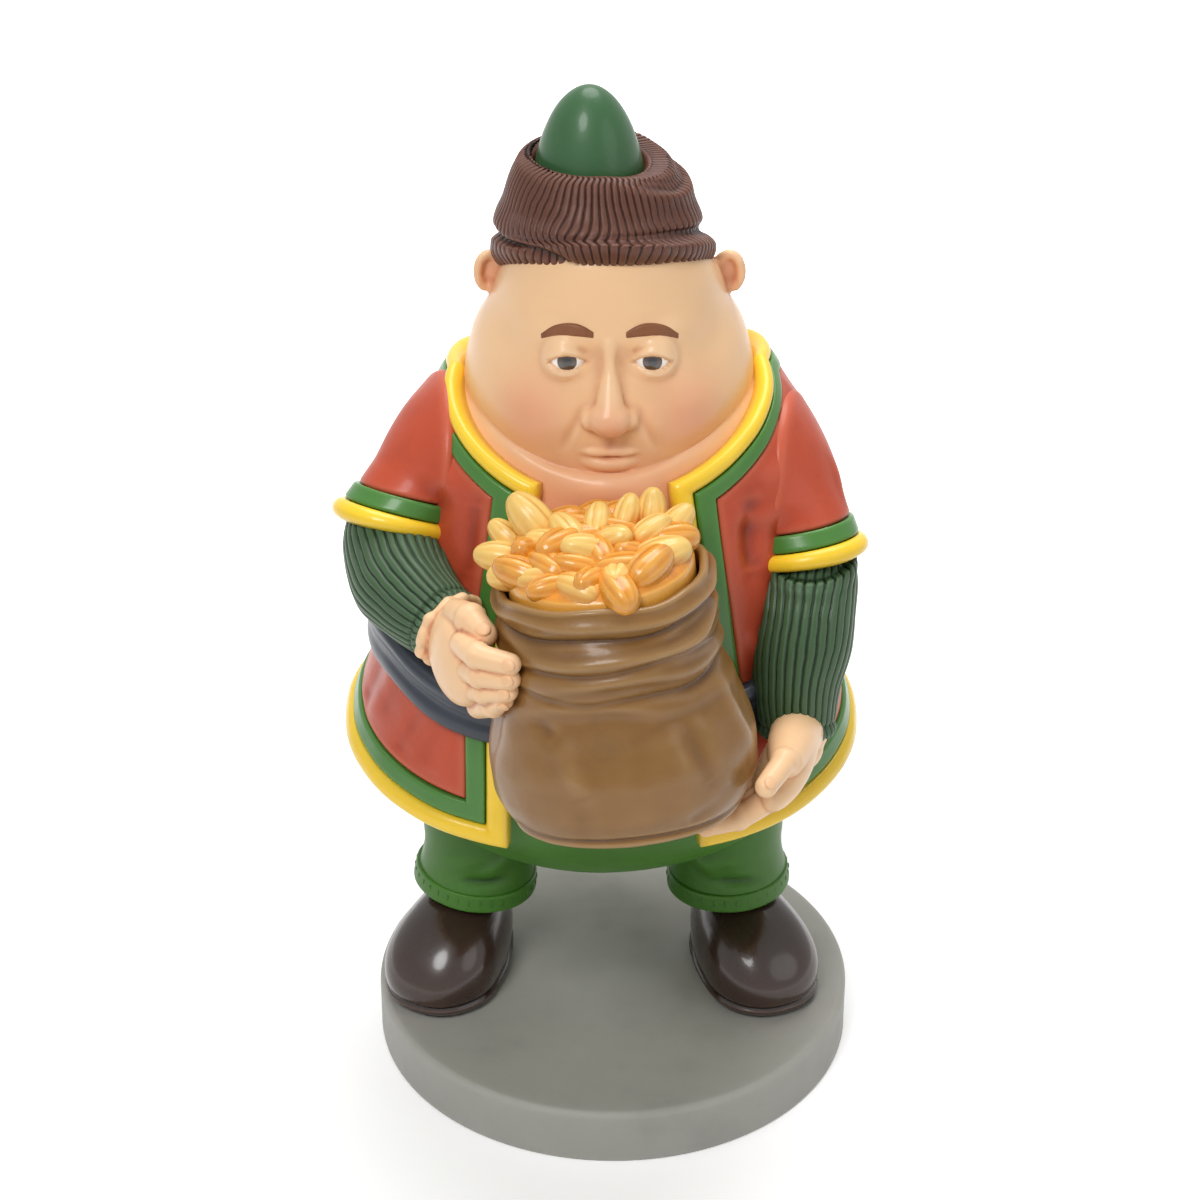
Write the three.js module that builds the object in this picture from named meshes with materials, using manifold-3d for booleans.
// A painted cast-resin figurine of a stout man who carries a sack of nuts, on a round plinth.
// Sizes are in millimetres and degrees. +Z is up and the figure faces -Y. The origin is the middle
// of the plinth's underside. Left and right are the figure's own, so its right hand is at -X.

import * as THREE from "three";
import { mergeVertices } from "three/addons/utils/BufferGeometryUtils.js";
import Module from "manifold-3d";

const wasm = await Module();
wasm.setup();

// Driving dimensions: gaps and heights
const glueGap = 0.3;
const plinthRadius = 45;
const plinthThickness = 11;
const plinthEdgeRadius = 1.3;
const cuffAbovePlinth = 18.5;
const seatAbovePlinth = 28;
const waistAbovePlinth = 75.5;
const hemBelowWaist = 26.5;
const shouldersAboveWaist = 52.5;
const jowlAboveWaist = 49;
const browAboveJowl = 15;
const hatAboveJowl = 22.5;
const figureX = -1.8;
const figureY = 4;

// Driving dimensions: dowels
const footDowelRadius = 1.5;
const footDowelLength = 22;
const footDowelBoreDepth = 7;
const neckDowelRadius = 1.5;
const neckDowelLength = 24;
const dowelClearance = 0.2;

// Driving dimensions: shoes and trousers
const shoeSplay = 24;
const shoeLength = 34;
const shoeToeWidth = 23.4;
const shoeHeelWidth = 16;
const shoeToeHeight = 14;
const shoeInstepHeight = 21.5;
const soleThickness = 2.2;
const soleLip = 0.7;
const ankleSpacing = 48.5;
const ankleY = 6.5;
const ankleX = -2.2;
const trouserCuffWidth = 23.5;
const trouserKneeWidth = 22;
const seatHalfWidth = 38;
const seatHalfDepth = 31;
const seatRoundHeight = 20;

// Driving dimensions: coat, measured on its red cloth
const coatSquareness = 2.3;
const coatLean = 1.7;
const coatWall = 3;
const hemHalfWidth = 49;
const hemHalfDepth = 38.2;
const waistHalfWidth = 39.8;
const waistHalfDepth = 34.6;
const bellyHalfWidth = 38.6;
const bellyHalfDepth = 35.6;
const ribsHalfWidth = 36.6;
const ribsHalfDepth = 34.6;
const chestHalfWidth = 34.8;
const chestHalfDepth = 31.6;
const armpitHalfWidth = 32.4;
const armpitHalfDepth = 28.6;
const shoulderHalfWidth = 29.4;
const shoulderHalfDepth = 24.6;
const neckHalfWidth = 24.2;
const neckHalfDepth = 18.6;
const hemSideLift = 7.5;
const hemBackLift = 3.5;
const yellowTrimWidth = 3.9;
const greenTrimWidth = 3.5;
const yellowTrimRelief = 0.9;
const greenTrimRelief = 0.45;
const neckOpeningHalfWidth = 26.2;
const neckOpeningHalfDepth = 28.6;
const neckOpeningSetForward = 2;
const neckOpeningSlope = 0.45;
const neckOpeningBackSlope = 0.32;
const frontOpeningAtNeck = 11;
const frontOpeningAtWaist = 16.6;
const frontOpeningAtHem = 17.2;
const sashWidth = 9;
const sashThickness = 1.8;
const sashFrontDrop = 2;
const sashSideLift = 3;

// Driving dimensions: arms
const shoulderRadius = 12.6;
const upperArmRadius = 11.7;
const cuffRadius = 9.5;
const cuffTrimWidth = 3.1;
const cuffTrimRelief = 1;
const forearmTopRadius = 7.6;
const forearmRadius = 8.9;
const wristRadius = 6.6;
const fingerRadius = 2.1;
const thumbRadius = 2.5;

// Driving dimensions: sack and nuts
const sackHeight = 45.5;
const sackBellyHalfWidth = 22.4;
const sackBellyHalfDepth = 19.7;
const sackMouthHalfWidth = 17.2;
const sackMouthHalfDepth = 16.5;
const sackWall = 1.6;
const sackRecessDepth = 8;
const sackTilt = 6.5;
const sackLean = 5;
const sackOffsetX = 4.6;
const sackPressedIn = 8.6;
const sackBottomBelowWaist = 12.6;
const nutRadius = 3;
const nutLength = 8;

// Driving dimensions: head and hat
const headHalfWidth = 25;
const headHalfDepth = 23.6;
const crownHalfWidth = 18.4;
const crownHalfDepth = 18.4;
const headSetForward = 1;
const headSetAside = 0.9;
const neckBelowJowl = 22;
const earHeight = 7.6;
const earThickness = 3.4;
const earBreadth = 5.2;
const earBelowHat = 3.8;
const noseRadius = 3.4;
const noseAboveJowl = 2.6;
const mouthBelowNose = 7.6;
const mouthHalfWidth = 5;
const lipRadius = 1;
const eyeballRadius = 3.6;
const eyeballRise = 1;
const eyeSpacing = 14;
const eyeBelowBrow = 4;
const eyebrowRadius = 1;
const lowerRollTilt = 23;
const lowerRollRadius = 15.6;
const lowerRollThickness = 7.2;
const lowerRollAside = -0.9;
const mainRollTilt = 10;
const mainRollRadius = 12;
const mainRollThickness = 11;
const mainRollHeight = 15;
const mainRollTaper = 0.22;
const mainRollRise = 6.6;
const mainRollAside = -2;
const topRollTilt = 0;
const topRollRadius = 11;
const topRollThickness = 7.4;
const topRollHeight = 7.4;
const topRollRise = 13.6;
const topRollAside = -2;
const domeRadius = 9.2;
const domeHeight = 15;
const domeRise = 13.7;
const domeAside = -3.4;
const domePoint = 1.5;
const hatDepthShare = 1.04;

// Places worked out from the driving dimensions
const plinthTop = plinthThickness;
const soleBottom = plinthTop + glueGap;
const cuffBottom = plinthTop + cuffAbovePlinth;
const seatBottom = plinthTop + seatAbovePlinth;
const waistZ = plinthTop + waistAbovePlinth;
const hemZ = waistZ - hemBelowWaist;
const shoulderZ = waistZ + shouldersAboveWaist;
const jowlZ = waistZ + jowlAboveWaist;
const hatZ = jowlZ + hatAboveJowl;
const headX = figureX + headSetAside;
const headY = figureY - headSetForward;

// Colours
const finish = {
  plinth: paint(0x96948a, 0.55),
  steel: new THREE.MeshStandardMaterial({ color: 0xb4b6ba, roughness: 0.35, metalness: 1 }),
  shoe: paint(0x2d201c, 0.3),
  trousers: paint(0x3c6e28, 0.5),
  red: paint(0xb94b32, 0.5),
  green: paint(0x4b8241, 0.45),
  yellow: paint(0xfacd1e, 0.45),
  knit: paint(0x46644b, 0.5),
  sash: paint(0x30363e, 0.5),
  skin: paint(0xf0bf92, 0.5),
  sack: paint(0x96733f, 0.45),
  amber: paint(0xe1912d, 0.3),
  nut: paint(0xf5d78c, 0.4),
  hat: paint(0x5f3e37, 0.5),
  dome: paint(0x376e41, 0.4),
  eye: paint(0xf8f5ee, 0.2),
  eyebrow: paint(0x82503a, 0.5),
};

function paint(color, roughness) {
  return new THREE.MeshStandardMaterial({ color, roughness, metalness: 0 });
}

function radians(degrees) {
  return THREE.MathUtils.degToRad(degrees);
}

function vector(place) {
  return new THREE.Vector3(...place);
}

// Makes a solid of a closed geometry, with its faces turned outwards.
function solid(geometry) {
  const bare = new THREE.BufferGeometry();
  bare.setAttribute("position", geometry.getAttribute("position"));
  if (geometry.index) {
    bare.setIndex(geometry.index);
  }
  const merged = mergeVertices(bare, 1e-4);
  const vertProperties = new Float32Array(merged.getAttribute("position").array);
  const triVerts = new Uint32Array(merged.index.array);
  const made = new wasm.Manifold(new wasm.Mesh({ numProp: 3, vertProperties, triVerts }));
  if (made.volume() > 0) {
    return made;
  }
  return new wasm.Manifold(new wasm.Mesh({ numProp: 3, vertProperties, triVerts: triVerts.reverse() }));
}

// Moves every vertex of a closed geometry out along its normal, or in for a negative distance.
function grown(geometry, distance) {
  const bare = new THREE.BufferGeometry();
  bare.setAttribute("position", geometry.getAttribute("position").clone());
  if (geometry.index) {
    bare.setIndex(geometry.index.clone());
  }
  const merged = mergeVertices(bare, 1e-4);
  merged.computeVertexNormals();
  const outward = Math.sign(signedVolume(merged)) || 1;
  const position = merged.getAttribute("position");
  const normal = merged.getAttribute("normal");
  const vertex = new THREE.Vector3();
  const direction = new THREE.Vector3();
  for (let i = 0; i < position.count; i += 1) {
    vertex.fromBufferAttribute(position, i);
    direction.fromBufferAttribute(normal, i);
    vertex.addScaledVector(direction, distance * outward);
    position.setXYZ(i, vertex.x, vertex.y, vertex.z);
  }
  merged.deleteAttribute("normal");
  return merged;
}

function signedVolume(indexed) {
  const position = indexed.getAttribute("position");
  const corners = [new THREE.Vector3(), new THREE.Vector3(), new THREE.Vector3()];
  let sixVolumes = 0;
  for (let i = 0; i < indexed.index.count; i += 3) {
    corners.forEach((corner, k) => corner.fromBufferAttribute(position, indexed.index.getX(i + k)));
    sixVolumes += corners[0].dot(corners[1].clone().cross(corners[2]));
  }
  return sixVolumes;
}

// Keeps the largest body of a solid, so that no crumbs are left by a cut.
function largest(cut) {
  const bodies = cut.decompose();
  bodies.sort((a, b) => b.volume() - a.volume());
  return bodies[0];
}

// Cuts a list of solids out of a solid.
function without(body, cutters) {
  return largest(cutters.reduce((left, cutter) => left.subtract(cutter), body));
}

function piece(name, body, material) {
  const mesh = body.getMesh();
  const geometry = new THREE.BufferGeometry();
  geometry.setAttribute("position", new THREE.BufferAttribute(mesh.vertProperties, mesh.numProp));
  geometry.setIndex(new THREE.BufferAttribute(mesh.triVerts, 1));
  const made = new THREE.Mesh(geometry, material);
  made.name = name;
  return made;
}

// Passes each vertex through a function of its place.
function reshaped(geometry, move) {
  const position = geometry.getAttribute("position");
  const vertex = new THREE.Vector3();
  for (let i = 0; i < position.count; i += 1) {
    vertex.fromBufferAttribute(position, i);
    const moved = move(vertex);
    position.setXYZ(i, moved.x, moved.y, moved.z);
  }
  return geometry;
}

// Turns an outline of [radius, height] points round the Z axis.
function turned(outline, segments) {
  const points = outline.map(([radius, height]) => new THREE.Vector2(radius, height));
  return new THREE.LatheGeometry(points, segments).rotateX(Math.PI / 2);
}

// A closed body round Z of level sections, each a superellipse of its own half-width and
// half-depth. A smooth curve runs through the sections, and the ends close on the axis.
function sectioned(sections, squareness, segments, steps) {
  const curve = new THREE.CatmullRomCurve3(
    sections.map((section) => new THREE.Vector3(section.halfWidth, section.halfDepth, section.z)),
    false,
    "centripetal",
  );
  const rings = curve.getPoints(steps);
  const outline = rings.map((ring, i) => [1, i]);
  outline.unshift([0, 0]);
  outline.push([0, steps]);
  const unit = turned(outline, segments);
  return reshaped(unit, (vertex) => {
    const ring = rings[Math.round(vertex.z)];
    const reach = Math.hypot(vertex.x, vertex.y);
    if (reach < 0.5) {
      return vertex.set(0, 0, ring.z);
    }
    const power = 2 / squareness;
    const x = Math.sign(vertex.x) * Math.abs(vertex.x) ** power * ring.x;
    const y = Math.sign(vertex.y) * Math.abs(vertex.y) ** power * ring.y;
    return vertex.set(x, y, ring.z);
  });
}

// Bends an upright geometry round Y along a path. Its radius becomes that of the path, which runs
// through the given radii, and both ends keep the geometry's own form.
function alongPath(upright, points, radii) {
  upright.computeBoundingBox();
  const { min, max } = upright.boundingBox;
  const path = new THREE.CatmullRomCurve3(points.map(vector));
  const frameCount = 24;
  const frames = path.computeFrenetFrames(frameCount);
  const radius = new THREE.SplineCurve(radii.map((value, i) => new THREE.Vector2(i, value)));
  return reshaped(upright, (vertex) => {
    const along = THREE.MathUtils.clamp((vertex.y - min.y) / (max.y - min.y), 0, 1);
    const frame = Math.round(along * frameCount);
    const scale = radius.getPoint(along).y / max.x;
    const place = path.getPointAt(along);
    place.addScaledVector(frames.normals[frame], vertex.x * scale);
    place.addScaledVector(frames.binormals[frame], vertex.z * scale);
    return vertex.copy(place);
  });
}

// A limb with flat ends.
function sleeve(points, radii, segments, steps) {
  return alongPath(new THREE.CylinderGeometry(1, 1, 1, segments, steps), points, radii);
}

// A limb with round ends.
function finger(points, radii, segments, steps) {
  const length = new THREE.CatmullRomCurve3(points.map(vector)).getLength();
  const straight = length / radii[0] - 2;
  return alongPath(new THREE.CapsuleGeometry(1, straight, 2, segments, steps), points, radii);
}

function ball(radiusX, radiusY, radiusZ, segments = 16) {
  const rings = Math.round(segments * 0.6);
  return new THREE.SphereGeometry(1, segments, rings).scale(radiusX, radiusY, radiusZ);
}

// A cutter reaches past the whole figurine.
const cutterSize = 400;

function cutter(middleZ) {
  return solid(new THREE.BoxGeometry(cutterSize, cutterSize, cutterSize).translate(0, 0, middleZ));
}

function above(z) {
  return cutter(z + cutterSize / 2);
}

function below(z) {
  return cutter(z - cutterSize / 2);
}

// Plinth and dowels
const sides = [
  { name: "right", sign: -1 },
  { name: "left", sign: 1 },
];

function dowel(radius, length) {
  return new THREE.CylinderGeometry(radius, radius, length, 12).rotateX(Math.PI / 2);
}

function anklePlace(side) {
  return new THREE.Vector3(ankleX + side.sign * ankleSpacing / 2, ankleY, 0);
}

const footDowelBottom = plinthTop - footDowelBoreDepth + dowelClearance;

function footDowel(side, clearance) {
  const ankle = anklePlace(side);
  const middle = footDowelBottom + footDowelLength / 2;
  const pin = dowel(footDowelRadius + clearance, footDowelLength + 2 * clearance);
  return pin.translate(ankle.x, ankle.y, middle);
}

const footDowels = sides.map((side) => solid(footDowel(side, 0)));
const footBores = sides.map((side) => solid(footDowel(side, dowelClearance)));

function makePlinth() {
  const edgeSteps = 2;
  const outline = [[0, 0], [plinthRadius - 0.6, 0], [plinthRadius, 0.6]];
  for (let i = 0; i <= edgeSteps; i += 1) {
    const turn = (i / edgeSteps) * Math.PI / 2;
    outline.push([
      plinthRadius - plinthEdgeRadius * (1 - Math.cos(turn)),
      plinthTop - plinthEdgeRadius * (1 - Math.sin(turn)),
    ]);
  }
  outline.push([0, plinthTop]);
  return without(solid(turned(outline, 48)), footBores);
}

// Shoes: a round toe and a lower heel, with the lip of the sole standing out round the foot
function shoeForm(side) {
  const halfLength = shoeLength / 2;
  const ball = new THREE.SphereGeometry(1, 18, 10).rotateX(Math.PI / 2);
  const lowered = -0.5;
  const squared = (value) => Math.sign(value) * Math.abs(value) ** 0.85;
  const form = reshaped(ball, (vertex) => {
    // In the unit ball, +X is the toe and +Z is up.
    const toeward = THREE.MathUtils.smoothstep((vertex.x + 1) / 2, 0.1, 0.8);
    const half = THREE.MathUtils.lerp(shoeHeelWidth, shoeToeWidth, toeward) / 2;
    const top = THREE.MathUtils.lerp(shoeInstepHeight, shoeToeHeight, (vertex.x + 1) / 2);
    const up = (Math.max(vertex.z, lowered) - lowered) / (1 - lowered);
    const lip = up * top < soleThickness ? soleLip : 0;
    const x = squared(vertex.x) * (halfLength + lip);
    const y = squared(vertex.y) * (half + lip);
    return vertex.set(x, y, soleBottom + up * top);
  });
  form.translate(halfLength - shoeHeelWidth / 2, 0, 0).rotateZ(radians(-90 + side.sign * shoeSplay));
  const ankle = anklePlace(side);
  return form.translate(ankle.x, ankle.y, 0);
}

function makeShoe(side, k) {
  return without(solid(shoeForm(side)), [footBores[k]]);
}

// Trousers: the seat fills the coat's skirt, and a leg hangs from each side of it
const coat = coatForm();
const headCut = solid(grown(headForm(), glueGap));
const underCoat = grown(coat, -coatWall - glueGap);
const aboveWaist = above(waistZ + glueGap / 2);
const belowWaist = below(waistZ - glueGap / 2);

// The seat is round below and straight-sided above, where it fills the coat up to the waist.
function seatForm() {
  const roundSteps = 5;
  const outline = [];
  for (let i = 0; i <= roundSteps; i += 1) {
    const turn = (i / roundSteps) * Math.PI / 2;
    outline.push([Math.sin(turn), seatBottom + seatRoundHeight * (1 - Math.cos(turn))]);
  }
  outline.push([1, waistZ], [0, waistZ]);
  return turned(outline, 20).scale(seatHalfWidth, seatHalfDepth, 1).translate(figureX, figureY, 0);
}

function makeSeat() {
  const filling = solid(grown(seatForm(), 0));
  return largest(filling.intersect(solid(underCoat)).intersect(belowWaist));
}

function legForm(side) {
  const ankle = anklePlace(side);
  const hipX = figureX + side.sign * (ankleSpacing / 2 - 1);
  return sleeve(
    [
      [ankle.x, ankle.y - 2.5, cuffBottom],
      [THREE.MathUtils.lerp(ankle.x, hipX, 0.5), ankle.y - 2.5, (cuffBottom + seatBottom) / 2],
      [hipX, figureY, seatBottom + seatRoundHeight * 0.6],
    ],
    [trouserCuffWidth / 2, trouserKneeWidth / 2, trouserKneeWidth / 2],
    18,
    3,
  );
}

function makeLeg(side, k) {
  return without(solid(legForm(side)), [
    solid(grown(seatForm(), glueGap)),
    solid(grown(shoeForm(side), glueGap)),
    footBores[k],
  ]);
}

// Coat: one form from hem to shoulders, from which the shells are cut. The lowest section is a
// spread below the hem, which the hem's cut takes away.
function coatForm() {
  const spread = 24;
  const betweenHalfWidth = (hemHalfWidth + waistHalfWidth) / 2 - 0.4;
  const betweenHalfDepth = (hemHalfDepth + waistHalfDepth) / 2;
  const at = (z, halfWidth, halfDepth) => ({ z, halfWidth, halfDepth });
  const above = (share) => THREE.MathUtils.lerp(waistZ, shoulderZ, share);
  const sections = [
    at(hemZ - spread, hemHalfWidth + 4, hemHalfDepth + 3),
    at(hemZ, hemHalfWidth, hemHalfDepth),
    at((hemZ + waistZ) / 2, betweenHalfWidth, betweenHalfDepth),
    at(waistZ, waistHalfWidth, waistHalfDepth),
    at(above(0.18), bellyHalfWidth, bellyHalfDepth),
    at(above(0.4), ribsHalfWidth, ribsHalfDepth),
    at(above(0.6), chestHalfWidth, chestHalfDepth),
    at(above(0.78), armpitHalfWidth, armpitHalfDepth),
    at(above(0.91), shoulderHalfWidth, shoulderHalfDepth),
    at(shoulderZ, neckHalfWidth, neckHalfDepth),
    at(shoulderZ + 2, neckHalfWidth - 14.6, neckHalfDepth - 11),
  ];
  const form = sectioned(sections, coatSquareness, 20, sections.length - 1);
  form.translate(figureX, figureY, 0);
  const lean = Math.tan(radians(coatLean));
  return reshaped(form, (vertex) => vertex.setX(vertex.x + (vertex.z - waistZ) * lean));
}

// The hem lifts towards the sides and the back. Round the middle, front is -90 degrees.
function hemLift(x, y) {
  const sideways = Math.abs(x - figureX) / hemHalfWidth;
  const back = Math.max(0, (y - figureY) / hemHalfDepth);
  return Math.min(1, sideways) ** 3 * hemSideLift + Math.min(1, back) ** 2 * hemBackLift;
}

// All that lies below the hem, raised by a band's width
function belowHem(raise) {
  const reach = hemHalfWidth + 20;
  const inner = hemHalfDepth - 12;
  const depth = hemZ - plinthTop;
  const outline = [[0, -depth], [reach, -depth], [reach, 0], [inner, 0], [0, 0]];
  const block = turned(outline, 20).translate(figureX, figureY, hemZ + raise);
  return solid(
    reshaped(block, (vertex) => {
      const reachesHem = Math.hypot(vertex.x - figureX, vertex.y - figureY) > inner / 2;
      const lift = reachesHem && vertex.z > hemZ + raise - 1 ? hemLift(vertex.x, vertex.y) : 0;
      return vertex.set(vertex.x, vertex.y, vertex.z + lift);
    }),
  );
}

// The open front of the coat, widened by a band's width: wide at the waist, narrower at both ends
function openFront(widen) {
  const bottom = hemZ - 20;
  const neckZ = shoulderZ - 13;
  const outline = new THREE.Shape();
  const corners = [
    [frontOpeningAtHem, bottom],
    [frontOpeningAtWaist, waistZ],
    [frontOpeningAtNeck, neckZ],
    [frontOpeningAtNeck, shoulderZ],
  ];
  corners.forEach(([half, z], i) => {
    const x = half + widen;
    if (i === 0) {
      outline.moveTo(x, z);
    } else {
      outline.lineTo(x, z);
    }
  });
  [...corners].reverse().forEach(([half, z]) => outline.lineTo(-half - widen, z));
  outline.closePath();
  const depth = 2 * hemHalfDepth;
  const block = new THREE.ExtrudeGeometry(outline, { depth, bevelEnabled: false });
  // The outline's Y becomes Z, and the block reaches forward from the figure's middle.
  return solid(block.rotateX(Math.PI / 2).translate(figureX, figureY, 0));
}

// The neck opening, widened by a band's width: a funnel, so that a band keeps its width where the
// cloth is steep, with its front and back edges let down
function openNeck(widen) {
  const below = 22;
  const above = 12;
  const mean = (neckOpeningHalfWidth + neckOpeningHalfDepth) / 2;
  const topRadius = mean + widen + above;
  const footRadius = mean + widen - below;
  const funnel = new THREE.CylinderGeometry(topRadius, footRadius, above + below, 20);
  funnel.translate(0, (above - below) / 2, 0).rotateX(Math.PI / 2);
  funnel.scale(neckOpeningHalfWidth / mean, neckOpeningHalfDepth / mean, 1);
  reshaped(funnel, (vertex) => {
    const drop = vertex.y < 0 ? -neckOpeningSlope * vertex.y : neckOpeningBackSlope * vertex.y;
    return vertex.setZ(vertex.z - drop);
  });
  return solid(funnel.translate(figureX, figureY - neckOpeningSetForward, shoulderZ));
}

function coatShell(relief) {
  return solid(grown(coat, relief)).subtract(solid(grown(coat, -coatWall)));
}

// Cuts a shell in three along its openings: cloth, green trim and yellow trim
function coatRegions(region, openings) {
  const yellow = openings(0);
  const green = openings(yellowTrimWidth);
  const cloth = openings(yellowTrimWidth + greenTrimWidth);
  const greenEnd = openings(yellowTrimWidth + greenTrimWidth - glueGap);
  const yellowEnd = openings(yellowTrimWidth - glueGap);
  return {
    cloth: largest(coatShell(0).intersect(region).subtract(cloth)),
    green: largest(coatShell(greenTrimRelief).intersect(region).subtract(green).intersect(greenEnd)),
    yellow: largest(coatShell(yellowTrimRelief).intersect(region).subtract(yellow).intersect(yellowEnd)),
  };
}

const bodice = coatRegions(aboveWaist, (widen) => openFront(widen).add(openNeck(widen)));
const skirt = coatRegions(belowWaist, (widen) => openFront(widen).add(belowHem(widen)));

// The neck fills the coat's neck opening, down to the top of the knit body.
const insideNeck = 1.5;

function neckSolid() {
  const neck = solid(underCoat).intersect(above(jowlZ - neckBelowJowl + glueGap));
  return neck.subtract(openNeck(-insideNeck));
}

function makeKnitBody() {
  const body = solid(underCoat).intersect(aboveWaist).subtract(above(jowlZ - neckBelowJowl));
  return without(body, [headCut, neckBore]);
}

// The sash dips at the front and lifts over the hips.
function sashForm(extra) {
  const half = sashWidth / 2 + extra;
  const rings = [
    { rise: -half, out: -2 },
    { rise: -half, out: sashThickness - 0.5 },
    { rise: -half * 0.3, out: sashThickness + 0.5 },
    { rise: half * 0.3, out: sashThickness + 0.5 },
    { rise: half, out: sashThickness - 0.5 },
    { rise: half, out: -2 },
  ];
  const form = sectioned(
    rings.map(({ rise, out }) => ({
      z: waistZ + rise,
      halfWidth: waistHalfWidth + yellowTrimRelief + out,
      halfDepth: waistHalfDepth + yellowTrimRelief + out,
    })),
    coatSquareness,
    20,
    rings.length - 1,
  );
  reshaped(form, (vertex) => {
    const hipward = THREE.MathUtils.smoothstep(vertex.y, -waistHalfDepth, -waistHalfDepth * 0.5);
    return vertex.setZ(vertex.z - sashFrontDrop + (sashFrontDrop + sashSideLift) * hipward);
  });
  return form.translate(figureX, figureY, 0);
}

function makeSash() {
  return without(solid(sashForm(0)), [solid(grown(coat, yellowTrimRelief + glueGap))]);
}

// Arms: short coat sleeves that end in two trims, knit forearms, and hands
const shoulderHalfSpan = 22;
const shoulderDrop = 11;
const sackPlace = new THREE.Vector3(
  figureX + sackOffsetX,
  figureY - bellyHalfDepth - sackBellyHalfDepth + sackPressedIn,
  waistZ - sackBottomBelowWaist,
);

function fromShoulder(side, out, forward, down) {
  return [
    figureX + side.sign * (shoulderHalfSpan + out),
    figureY - forward,
    shoulderZ - shoulderDrop - down,
  ];
}

// A place beside the sack: out from its widest side, back from its middle, and up from its bottom
function besideSack(side, out, back, up) {
  return [
    sackPlace.x + side.sign * (sackBellyHalfWidth + out),
    sackPlace.y + back,
    sackPlace.z + up,
  ];
}

const [rightSide, leftSide] = sides;
const arms = [
  {
    side: rightSide,
    sleeve: [
      fromShoulder(rightSide, -4, 1, 3.5),
      fromShoulder(rightSide, 6.4, 8, 7.3),
      fromShoulder(rightSide, 14.4, 15, 15.6),
    ],
    cuffWay: [-0.25, -0.38, -0.89],
    elbow: [besideSack(rightSide, 17.3, 24.8, 33.8), besideSack(rightSide, 13.4, 17.4, 31.6)],
    wrist: besideSack(rightSide, 8.4, 11.6, 30.1),
  },
  {
    side: leftSide,
    sleeve: [
      fromShoulder(leftSide, -3.2, 1, 4),
      fromShoulder(leftSide, 7, 8, 9.4),
      fromShoulder(leftSide, 13.3, 17, 20.6),
    ],
    cuffWay: [0.19, -0.3, -0.93],
    elbow: [besideSack(leftSide, 7.4, 22.4, 25.8), besideSack(leftSide, 6.2, 18.4, 15.8)],
    wrist: besideSack(leftSide, 6.4, 16.1, 6.6),
  },
];

function cuffDirection(arm) {
  return vector(arm.cuffWay).normalize();
}

const trimsLength = 2 * (cuffTrimWidth + glueGap);

function beforeCuff(arm, distance) {
  return vector(arm.sleeve[2]).addScaledVector(cuffDirection(arm), -distance);
}

// The sleeve runs on past its cuff, where it is cut off square to the arm.
function sleeveForm(arm) {
  const [start, bend, end] = arm.sleeve.map(vector);
  const past = end.clone().addScaledVector(end.clone().sub(bend).normalize(), cuffTrimWidth);
  const points = [start, bend, end, past].map((point) => point.toArray());
  const radii = [shoulderRadius, upperArmRadius, cuffRadius, cuffRadius];
  return sleeve(points, radii, 18, 6);
}

// All of the arm that lies at least a distance before the cuff's end
function upFromCuff(arm, distance) {
  const size = 8 * cuffRadius;
  const block = new THREE.BoxGeometry(size, size, size);
  const up = new THREE.Vector3(0, 0, 1);
  block.translate(0, 0, -size / 2);
  block.applyQuaternion(new THREE.Quaternion().setFromUnitVectors(up, cuffDirection(arm)));
  const end = beforeCuff(arm, distance);
  return solid(block.translate(end.x, end.y, end.z));
}

function forearmForm(arm) {
  const start = beforeCuff(arm, trimsLength - cuffTrimWidth);
  const points = [start.toArray(), arm.sleeve[2], ...arm.elbow, arm.wrist];
  const radii = [
    forearmTopRadius,
    forearmRadius,
    forearmRadius,
    (forearmRadius + wristRadius) / 2,
    wristRadius,
  ];
  return sleeve(points, radii, 14, 8);
}

const coatCut = solid(grown(coat, yellowTrimRelief + glueGap));
const sashCut = solid(grown(sashForm(glueGap), glueGap));

// Cuts a sleeve in three along its cuff: cloth, green trim and yellow trim
function makeSleeve(arm) {
  const cutters = [coatCut, solid(grown(forearmForm(arm), glueGap))];
  const band = (relief, from, to) => {
    const form = solid(grown(sleeveForm(arm), relief));
    return without(form.intersect(upFromCuff(arm, from)).subtract(upFromCuff(arm, to)), cutters);
  };
  const greenEnd = cuffTrimWidth + glueGap;
  return {
    yellow: band(cuffTrimRelief, 0, cuffTrimWidth),
    green: band(cuffTrimRelief / 2, greenEnd, greenEnd + cuffTrimWidth),
    cloth: without(solid(sleeveForm(arm)).intersect(upFromCuff(arm, trimsLength)), cutters),
  };
}

function makeForearm(arm) {
  return without(solid(forearmForm(arm)), [coatCut, sashCut, sackCut]);
}

// Sack: an open bag with a rolled neck, filled to the recess in its mouth
function leant(geometry) {
  geometry.rotateX(radians(-sackLean));
  geometry.rotateY(radians(-sackTilt));
  return geometry.translate(sackPlace.x, sackPlace.y, sackPlace.z);
}

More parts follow.
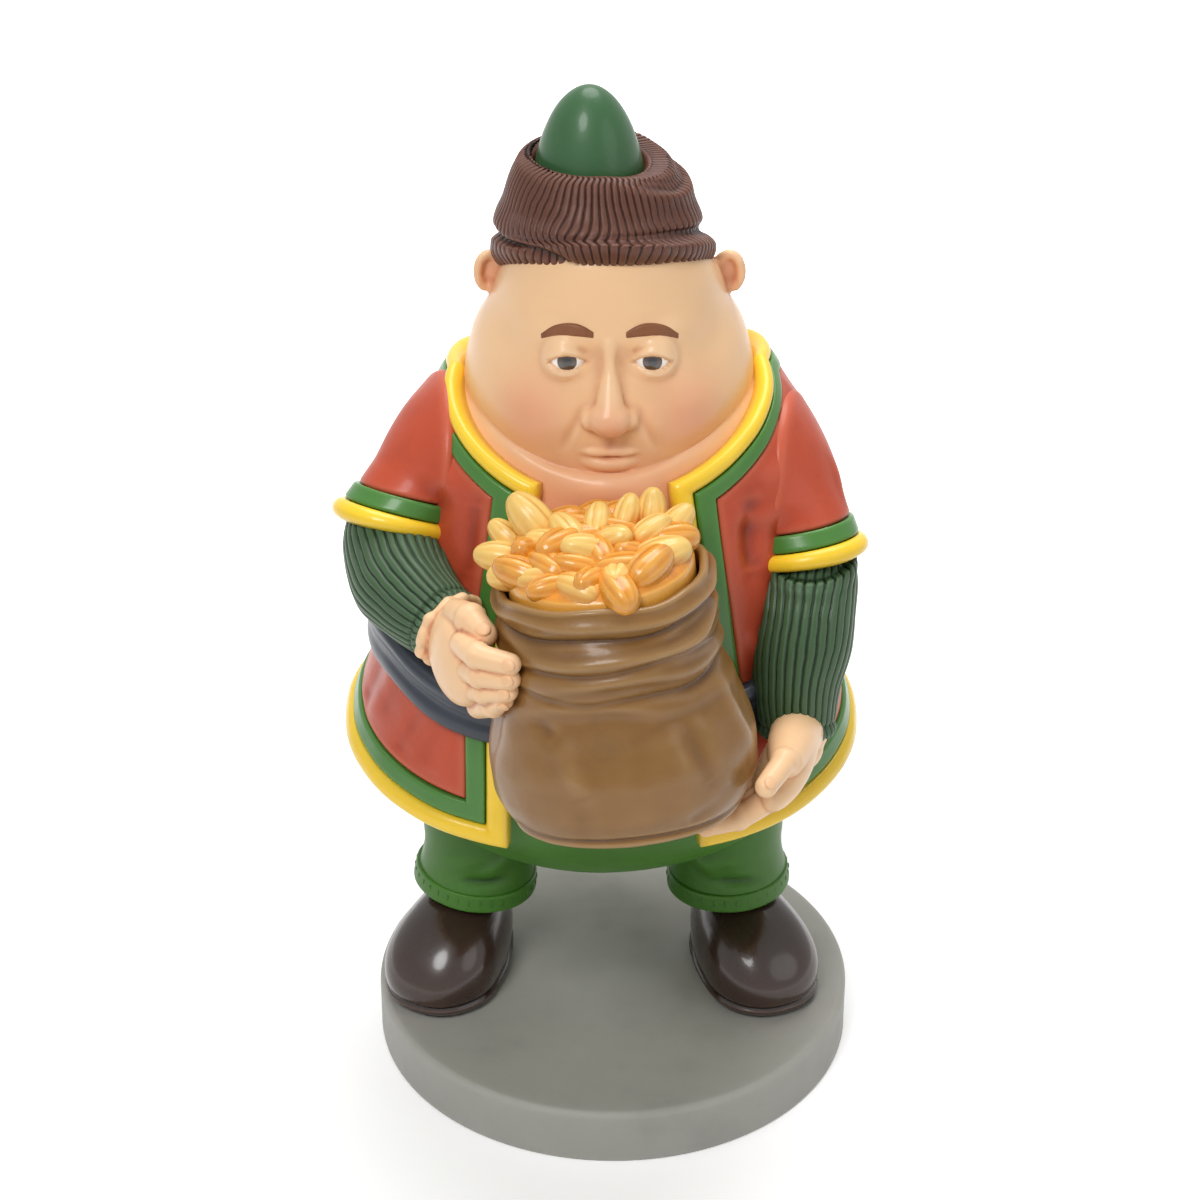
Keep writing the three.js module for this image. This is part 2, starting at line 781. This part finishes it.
function sackForm() {
  const belly = { halfWidth: sackBellyHalfWidth, halfDepth: sackBellyHalfDepth };
  const mouth = { halfWidth: sackMouthHalfWidth, halfDepth: sackMouthHalfDepth };
  const at = (share, shape, add) => ({
    z: sackHeight * share,
    halfWidth: shape.halfWidth + add,
    halfDepth: shape.halfDepth + add,
  });
  const sections = [
    at(0, belly, -12),
    at(0.03, belly, -6.6),
    at(0.11, belly, -2.2),
    at(0.22, belly, -0.2),
    at(0.32, belly, 0),
    at(0.46, belly, -1.4),
    at(0.6, belly, -3.4),
    at(0.7, mouth, 0.8),
    at(0.79, mouth, 1.5),
    at(0.86, mouth, 0.3),
    at(0.94, mouth, 0.8),
    at(1, mouth, 0),
  ];
  return leant(sectioned(sections, 2.1, 20, sections.length - 1));
}

const sackCut = solid(grown(sackForm(), glueGap));

function recess(clearance, rise) {
  const depth = sackRecessDepth - clearance;
  const half = sackMouthHalfWidth - sackWall - clearance;
  const form = new THREE.CylinderGeometry(1, 0.94, depth + rise, 20).rotateX(Math.PI / 2);
  form.scale(half, half - sackMouthHalfWidth + sackMouthHalfDepth, 1);
  return leant(form.translate(0, 0, sackHeight - (depth - rise) / 2));
}

function makeSack() {
  return without(solid(sackForm()), [solid(recess(0, 5)), coatCut, sashCut]);
}

// The poured filling is heaped towards the back, and the nuts lie half sunk in it.
function heapForm() {
  const inside = sackWall + glueGap;
  const rise = 6.2;
  const heap = ball(sackMouthHalfWidth - inside, sackMouthHalfDepth - inside, 1, 16);
  reshaped(heap, (vertex) => {
    const depth = vertex.z < 0 ? sackRecessDepth - glueGap : rise;
    const backward = 1 + 0.2 * (vertex.y / sackMouthHalfDepth);
    const up = Math.sign(vertex.z) * Math.abs(vertex.z) ** 0.7;
    return vertex.setZ(up * depth * backward);
  });
  return leant(heap.translate(0, 0, sackHeight));
}

function makeHeap() {
  return without(solid(heapForm()).intersect(solid(recess(glueGap, 20))), [coatCut, headCut]);
}

// Each nut has its place from the middle of the mouth, its lean from upright, the heading that it
// leans to, and its size against the common one.
const nuts = [
  { x: -10.7, y: 6.7, z: 7.5, lean: 40, heading: 150, size: 1.3 },
  { x: -15.3, y: 7.9, z: 4.5, lean: 50, heading: 150, size: 0.9 },
  { x: -16.6, y: 4.2, z: 2.5, lean: 80, heading: 170, size: 1.05 },
  { x: -14, y: -1.8, z: 1.6, lean: 85, heading: 190, size: 1.1 },
  { x: -9.2, y: -6.2, z: 2, lean: 85, heading: 170, size: 1.1 },
  { x: -3.5, y: -10.6, z: 1.6, lean: 80, heading: 145, size: 1.15 },
  { x: 3, y: -9.2, z: 2.5, lean: 75, heading: 265, size: 1.1 },
  { x: 10.1, y: -3.9, z: 3, lean: 80, heading: 20, size: 1.3 },
  { x: 12.9, y: 4.9, z: 5, lean: 55, heading: 30, size: 0.95 },
  { x: 9, y: 7.2, z: 6.5, lean: 20, heading: 60, size: 1 },
  { x: 8.9, y: 1.2, z: 5.6, lean: 70, heading: 30, size: 0.95 },
  { x: -1.8, y: -3.8, z: 5.4, lean: 60, heading: 200, size: 1.1 },
  { x: 2.4, y: -1.4, z: 5.6, lean: 60, heading: 330, size: 1 },
  { x: -4.9, y: 1.9, z: 6.8, lean: 70, heading: 120, size: 1 },
  { x: 0.2, y: 3.9, z: 7, lean: 60, heading: 80, size: 0.95 },
  { x: 5, y: 5.6, z: 7.2, lean: 45, heading: 60, size: 0.9 },
  { x: -8.2, y: 0.6, z: 5.4, lean: 75, heading: 160, size: 0.95 },
];

function nutForm(nut) {
  const kernel = ball(nutRadius * nut.size, nutRadius * nut.size, (nutLength / 2) * nut.size, 8);
  kernel.rotateY(radians(nut.lean));
  kernel.rotateZ(radians(nut.heading));
  kernel.translate(nut.x, nut.y, sackHeight + nut.z);
  return leant(kernel);
}

function makeNuts() {
  const heap = solid(grown(heapForm(), glueGap));
  return nuts.map((nut, i) => {
    const earlier = nuts.slice(0, i).map((other) => solid(grown(nutForm(other), glueGap)));
    return without(solid(nutForm(nut)), [heap, sackCut, headCut, coatCut, ...earlier]);
  });
}

// Hands: a palm, four fingers side by side, and a thumb
function handSolid(palm, fingers, thumb) {
  const radii = [fingerRadius, fingerRadius, fingerRadius * 0.85];
  const digits = fingers.map((points) => solid(finger(points, radii, 7, 3)));
  digits.push(solid(finger(thumb, [thumbRadius, thumbRadius * 0.8], 7, 3)));
  return digits.reduce((hand, digit) => hand.add(digit), solid(palm));
}

function palmForm(from, to, halfThickness, halfBreadth, thicknessWay) {
  const start = vector(from);
  const way = vector(to).sub(start);
  const form = ball(way.length() / 2, halfThickness, halfBreadth, 10);
  const along = way.clone().normalize();
  const across = vector(thicknessWay).projectOnPlane(along).normalize();
  const breadth = along.clone().cross(across);
  form.applyMatrix4(new THREE.Matrix4().makeBasis(along, across, breadth));
  const middle = start.addScaledVector(way, 0.5);
  return form.translate(middle.x, middle.y, middle.z);
}

const fingerCount = 4;

function rightHandSolid() {
  const side = rightSide;
  const fingers = [];
  for (let i = 0; i < fingerCount; i += 1) {
    const knuckleDrop = i * 2.1 * fingerRadius;
    const tipDrop = i * (1.5 - i * 0.08) * fingerRadius;
    const set = i * i * 0.25;
    fingers.push([
      besideSack(side, 5.2 - set, -1.3 + set, 34.4 - knuckleDrop),
      besideSack(side, 2.6 - set, -6.6 + set, 35.4 - (knuckleDrop + tipDrop) / 2),
      besideSack(side, -2.8 + set * 0.6, -9.4 + set, 35.4 - tipDrop),
    ]);
  }
  const thumb = [
    besideSack(side, 6.4, 6, 36),
    besideSack(side, 4, 1.6, 37.4),
    besideSack(side, 1.6, -2, 36.6),
  ];
  const wristEnd = besideSack(side, 9.4, 13, 30.4);
  const knuckleEnd = besideSack(side, 3.2, -5, 28);
  const palm = palmForm(wristEnd, knuckleEnd, 4.4, 8, [-1, -0.7, 0]);
  return handSolid(palm, fingers, thumb);
}

function leftHandSolid() {
  const side = leftSide;
  const fingers = [];
  for (let i = 0; i < fingerCount; i += 1) {
    const back = i * (2 * fingerRadius - 0.9);
    const set = Math.abs(i - 1) * 1.6;
    fingers.push([
      besideSack(side, 2, 1.5 + back * 0.8, 3.2 - i * 0.6),
      besideSack(side, -4.5, -2 + back, 1 - i * 0.5),
      besideSack(side, -11.5 + set, -3.4 + back, 0.2 - i * 0.5),
    ]);
  }
  const thumb = [
    besideSack(side, 5, 8, 10),
    besideSack(side, 2.6, -2.4, 12.4),
    besideSack(side, -2, -10.6, 11.4),
  ];
  const wristEnd = besideSack(side, 6.6, 17.6, 7.4);
  const knuckleEnd = besideSack(side, 1.4, -3, 4.4);
  const palm = palmForm(wristEnd, knuckleEnd, 4.2, 7.6, [0.9, -0.3, -0.6]);
  return handSolid(palm, fingers, thumb);
}

function makeHand(hand, arm) {
  return without(hand, [coatCut, sashCut, sackCut, solid(grown(forearmForm(arm), glueGap))]);
}

// Head: heavy jowls under a narrower crown
function headForm() {
  const crown = { halfWidth: crownHalfWidth, halfDepth: crownHalfDepth };
  const jowl = { halfWidth: headHalfWidth, halfDepth: headHalfDepth };
  const at = (z, shape, less) => ({
    z,
    halfWidth: shape.halfWidth - less,
    halfDepth: shape.halfDepth - less,
  });
  const sections = [
    at(jowlZ - 20.5, jowl, 16),
    at(jowlZ - 18, jowl, 11),
    at(jowlZ - 13, jowl, 4.6),
    at(jowlZ - 7, jowl, 1),
    at(jowlZ, jowl, 0),
    at(jowlZ + browAboveJowl / 2, jowl, 1.4),
    at(jowlZ + browAboveJowl, crown, -1.8),
    at(hatZ - 3, crown, 0),
    at(hatZ + 1.5, crown, 3),
    at(hatZ + 6, crown, 7),
    at(hatZ + 8, crown, 14),
  ];
  const form = sectioned(sections, 2.1, 20, sections.length - 1);
  // The brow and crown lean back with the hat.
  const slope = Math.tan(radians(lowerRollTilt));
  reshaped(form, (vertex) => {
    const leaning = THREE.MathUtils.smoothstep(vertex.z, jowlZ + browAboveJowl / 2, hatZ);
    return vertex.setZ(vertex.z - vertex.y * slope * leaning);
  });
  return form.translate(headX, headY, 0);
}

// Where the skin of the head lies in front of a place aside from its middle and at a height
const headSkin = new THREE.Mesh(headForm(), new THREE.MeshBasicMaterial({ side: THREE.DoubleSide }));

function skinY(aside, z) {
  const from = new THREE.Vector3(headX + aside, headY - 3 * headHalfDepth, z);
  const ray = new THREE.Raycaster(from, new THREE.Vector3(0, 1, 0));
  return ray.intersectObject(headSkin)[0].point.y;
}

const eyeZ = jowlZ + browAboveJowl - eyeBelowBrow;

function eyeForm(side) {
  const aside = eyeSpacing / 2;
  const y = skinY(side.sign * aside, eyeZ) + eyeballRadius - eyeballRise;
  const eye = ball(eyeballRadius, eyeballRadius, eyeballRadius, 10);
  return eye.translate(headX + side.sign * aside, y, eyeZ);
}

function eyebrowForm(side) {
  const z = jowlZ + browAboveJowl;
  const reach = (share, rise) => {
    const aside = eyeSpacing / 2 + share;
    return [headX + side.sign * aside, skinY(side.sign * aside, z + rise) - 0.1, z + rise];
  };
  const points = [reach(-3.8, 0.5), reach(0.2, 1.4), reach(4.2, -0.9)];
  return finger(points, [eyebrowRadius, eyebrowRadius * 1.1, eyebrowRadius * 0.8], 8, 5);
}

const noseZ = jowlZ + noseAboveJowl;

function lipsSolid() {
  const lips = [0.7, -0.7].map((rise) => {
    const z = noseZ - mouthBelowNose + rise;
    const place = (aside) => [headX + aside, skinY(aside, z) + 0.4, z];
    const points = [place(-mouthHalfWidth), place(0), place(mouthHalfWidth)];
    return solid(finger(points, [lipRadius * 0.6, lipRadius, lipRadius * 0.6], 6, 3));
  });
  return lips[0].add(lips[1]);
}

function earForm(side) {
  const earTurn = side.sign * -0.5;
  const ear = ball(earBreadth / 2, earThickness / 2, earHeight / 2, 10).rotateZ(earTurn);
  return ear.translate(headX + side.sign * (crownHalfWidth + 2), headY, hatZ - earBelowHat);
}

function headSolid() {
  const nose = ball(noseRadius, noseRadius * 0.9, noseRadius * 0.85, 10);
  nose.translate(headX, skinY(0, noseZ) - 1, noseZ);
  const bridge = finger(
    [[headX, skinY(0, eyeZ) + 0.8, eyeZ], [headX, skinY(0, noseZ) - 0.6, noseZ + 0.6]],
    [noseRadius * 0.5, noseRadius * 0.75],
    8,
    2,
  );
  const parts = [solid(nose), solid(bridge), lipsSolid(), neckSolid()];
  sides.forEach((side) => {
    const wing = ball(noseRadius * 0.5, noseRadius * 0.55, noseRadius * 0.45, 6);
    wing.translate(headX + side.sign * noseRadius * 0.85, skinY(0, noseZ), noseZ - 0.5);
    parts.push(solid(wing));
    parts.push(solid(earForm(side)).subtract(solid(grown(lowerRoll, glueGap))));
  });
  return parts.reduce((head, part) => head.add(part), solid(headForm()));
}

const neckDowelTop = jowlZ - 6;

function neckDowelForm(clearance) {
  return dowel(neckDowelRadius + clearance, neckDowelLength + 2 * clearance)
    .translate(headX, headY, neckDowelTop - neckDowelLength / 2);
}

const neckBore = solid(neckDowelForm(dowelClearance));

function makeHead() {
  const sockets = sides.map((side) => solid(grown(eyeForm(side), glueGap)));
  return without(headSolid(), [...sockets, neckBore]);
}

// Hat: three rolls of ribbed knit round a smooth, pointed dome
function roll(radius, thickness, height, taper) {
  const ring = new THREE.TorusGeometry(radius, thickness / 2, 8, 20);
  ring.scale(1, hatDepthShare, height / thickness);
  return reshaped(ring, (vertex) => {
    const share = 1 - taper * (vertex.z / height);
    return vertex.set(vertex.x * share, vertex.y * share, vertex.z);
  });
}

function onHat(geometry, tilt, aside, rise) {
  return geometry.rotateX(radians(-tilt)).translate(headX + aside, headY, hatZ + rise);
}

const lowerRoll = onHat(
  roll(lowerRollRadius, lowerRollThickness, lowerRollThickness, 0),
  lowerRollTilt,
  lowerRollAside,
  0,
);
const mainRoll = onHat(
  roll(mainRollRadius, mainRollThickness, mainRollHeight, mainRollTaper),
  mainRollTilt,
  mainRollAside,
  mainRollRise,
);
const topRoll = onHat(
  roll(topRollRadius, topRollThickness, topRollHeight, 0),
  topRollTilt,
  topRollAside,
  topRollRise,
);

// The dome is steeper than half an egg up to its round tip, and round below its middle.
function domeForm() {
  const unit = new THREE.SphereGeometry(1, 16, 12).rotateX(Math.PI / 2);
  reshaped(unit, (vertex) => {
    const round = Math.hypot(vertex.x, vertex.y);
    const reach = vertex.z > 0 ? Math.sqrt(1 - vertex.z ** domePoint) : round;
    const share = round > 1e-6 ? reach / round : 1;
    return vertex.set(vertex.x * share, vertex.y * share, vertex.z);
  });
  return unit.scale(domeRadius, domeRadius, domeHeight);
}

const dome = onHat(domeForm(), 0, domeAside, domeRise);

function makeHat() {
  const head = solid(grown(headForm(), glueGap));
  const lowerCut = solid(grown(lowerRoll, glueGap));
  const mainCut = solid(grown(mainRoll, glueGap));
  const domeCut = solid(grown(dome, glueGap));
  return {
    lower: without(solid(lowerRoll), [head]),
    main: without(solid(mainRoll), [head, lowerCut, domeCut]),
    top: without(solid(topRoll), [head, mainCut, domeCut]),
    dome: without(solid(dome), [head]),
  };
}

const figure = new THREE.Group();
figure.name = "figurine";
figure.add(piece("base_disc", makePlinth(), finish.plinth));
sides.forEach((side, k) => {
  figure.add(piece(`${side.name}_foot_dowel`, footDowels[k], finish.steel));
  figure.add(piece(`${side.name}_shoe`, makeShoe(side, k), finish.shoe));
  figure.add(piece(`${side.name}_trouser_leg`, makeLeg(side, k), finish.trousers));
});
figure.add(piece("trousers_seat", makeSeat(), finish.trousers));
figure.add(piece("knit_body", makeKnitBody(), finish.knit));
figure.add(piece("coat_bodice", without(bodice.cloth, [headCut]), finish.red));
figure.add(piece("collar_green_trim", without(bodice.green, [headCut]), finish.green));
figure.add(piece("collar_yellow_trim", without(bodice.yellow, [headCut]), finish.yellow));
figure.add(piece("coat_skirt", skirt.cloth, finish.red));
figure.add(piece("hem_green_trim", skirt.green, finish.green));
figure.add(piece("hem_yellow_trim", skirt.yellow, finish.yellow));
figure.add(piece("sash", makeSash(), finish.sash));
arms.forEach((arm) => {
  const { name } = arm.side;
  const made = makeSleeve(arm);
  figure.add(piece(`${name}_sleeve`, made.cloth, finish.red));
  figure.add(piece(`${name}_cuff_green_trim`, made.green, finish.green));
  figure.add(piece(`${name}_cuff_yellow_trim`, made.yellow, finish.yellow));
  figure.add(piece(`${name}_forearm`, makeForearm(arm), finish.knit));
});
figure.add(piece("right_hand", makeHand(rightHandSolid(), arms[0]), finish.skin));
figure.add(piece("left_hand", makeHand(leftHandSolid(), arms[1]), finish.skin));
figure.add(piece("sack", makeSack(), finish.sack));
figure.add(piece("sack_filling", makeHeap(), finish.amber));
makeNuts().forEach((nut, i) => {
  figure.add(piece(`nut_${String(i + 1).padStart(2, "0")}`, nut, finish.nut));
});
figure.add(piece("head", makeHead(), finish.skin));
figure.add(piece("neck_dowel", solid(neckDowelForm(0)), finish.steel));
sides.forEach((side) => {
  figure.add(piece(`${side.name}_eye`, solid(eyeForm(side)), finish.eye));
  const eyebrow = without(solid(eyebrowForm(side)), [headCut]);
  figure.add(piece(`${side.name}_eyebrow`, eyebrow, finish.eyebrow));
});
const hat = makeHat();
figure.add(piece("hat_lower_roll", hat.lower, finish.hat));
figure.add(piece("hat_main_roll", hat.main, finish.hat));
figure.add(piece("hat_top_roll", hat.top, finish.hat));
figure.add(piece("hat_dome", hat.dome, finish.dome));

export default figure;
